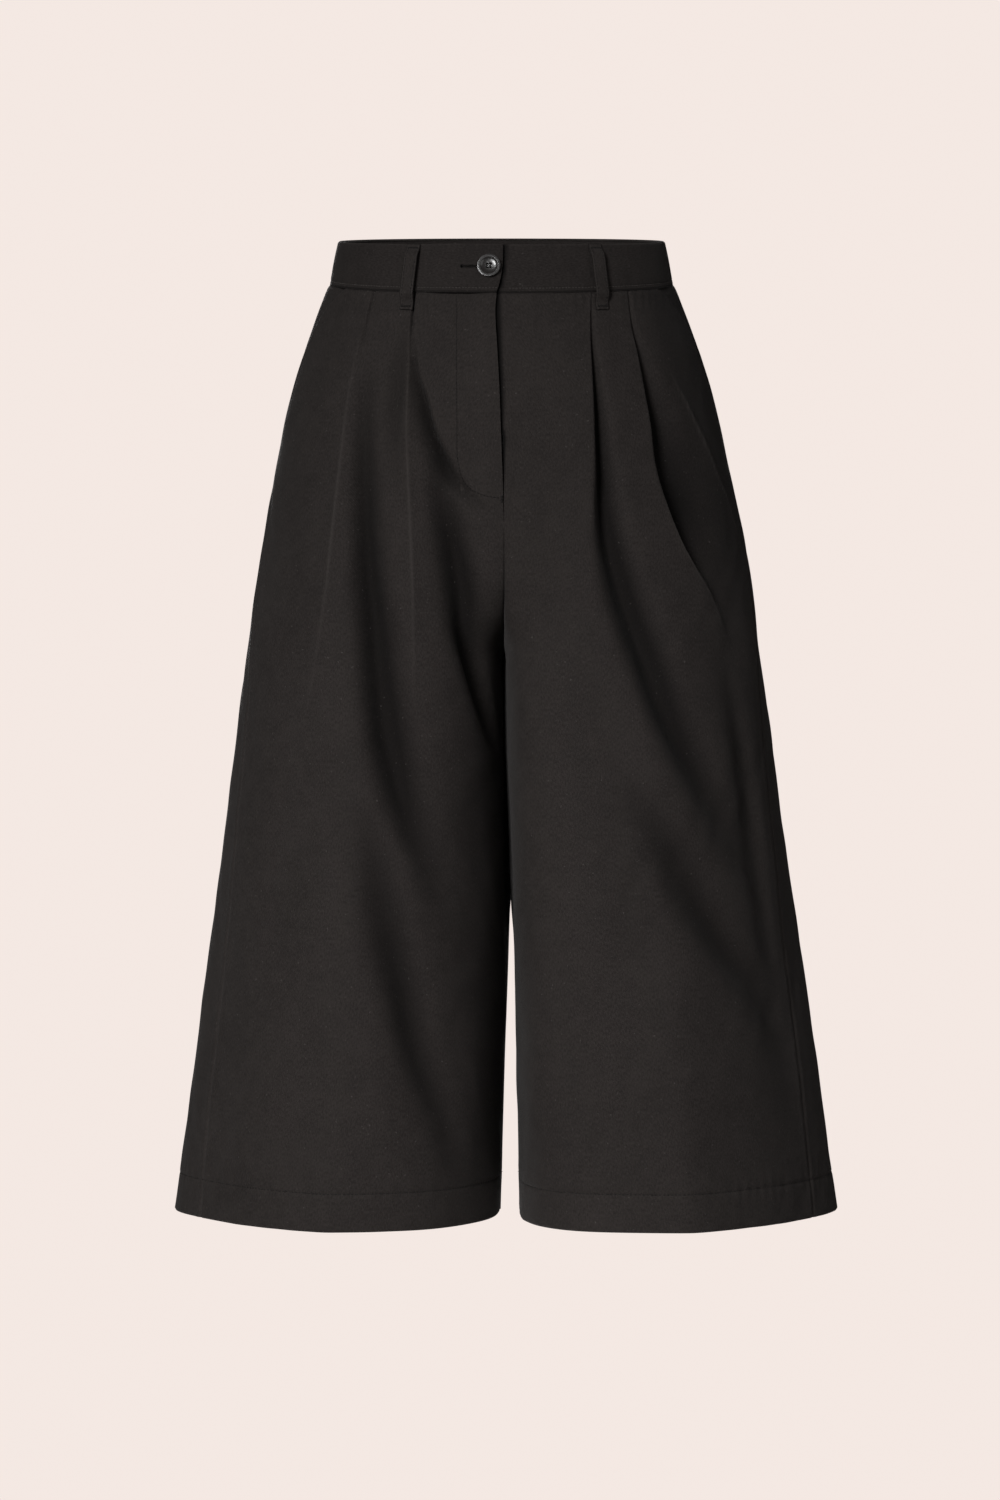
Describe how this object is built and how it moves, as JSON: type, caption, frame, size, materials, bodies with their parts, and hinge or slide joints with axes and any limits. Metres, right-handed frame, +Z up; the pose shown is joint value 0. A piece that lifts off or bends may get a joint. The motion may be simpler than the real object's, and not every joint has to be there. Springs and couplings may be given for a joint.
{
  "type": "pleated culottes",
  "caption": "Black wide-leg pleated culottes with a waistband, belt loops, a lapped fly with a button and slanted pockets, filled out and hollow as worn.",
  "frame": {"origin": "centre of the waistband, at half its height at the sides, where the wearer's waist holds it", "axes": "+X to the wearer's left, +Y to the back, +Z up; the front faces -Y"},
  "size_m": [0.5263, 0.2963, 0.7886],
  "materials": {
    "black_twill": "matte black cotton twill with a fine upright grain",
    "black_lining": "smooth black pocket lining and zip tape",
    "black_resin": "glossy black four-hole button",
    "black_thread": "black sewing thread"
  },
  "bodies": {
    "root": {"front_right": "black_twill", "front_left": "black_twill", "back_right": "black_twill", "back_left": "black_twill", "waistband_right": "black_twill", "waistband_left": "black_twill", "pocket_facing_right": "black_twill", "pocket_facing_left": "black_twill", "belt_loop_front_right": "black_twill", "belt_loop_front_left": "black_twill", "belt_loop_back_right": "black_twill", "belt_loop_back_left": "black_twill", "belt_loop_back_centre": "black_twill", "fly_shield": "black_twill", "pocket_bag_right": "black_lining", "pocket_bag_left": "black_lining", "zip_tape": "black_lining", "button": "black_resin", "button_thread": "black_thread"}
  },
  "joints": []
}
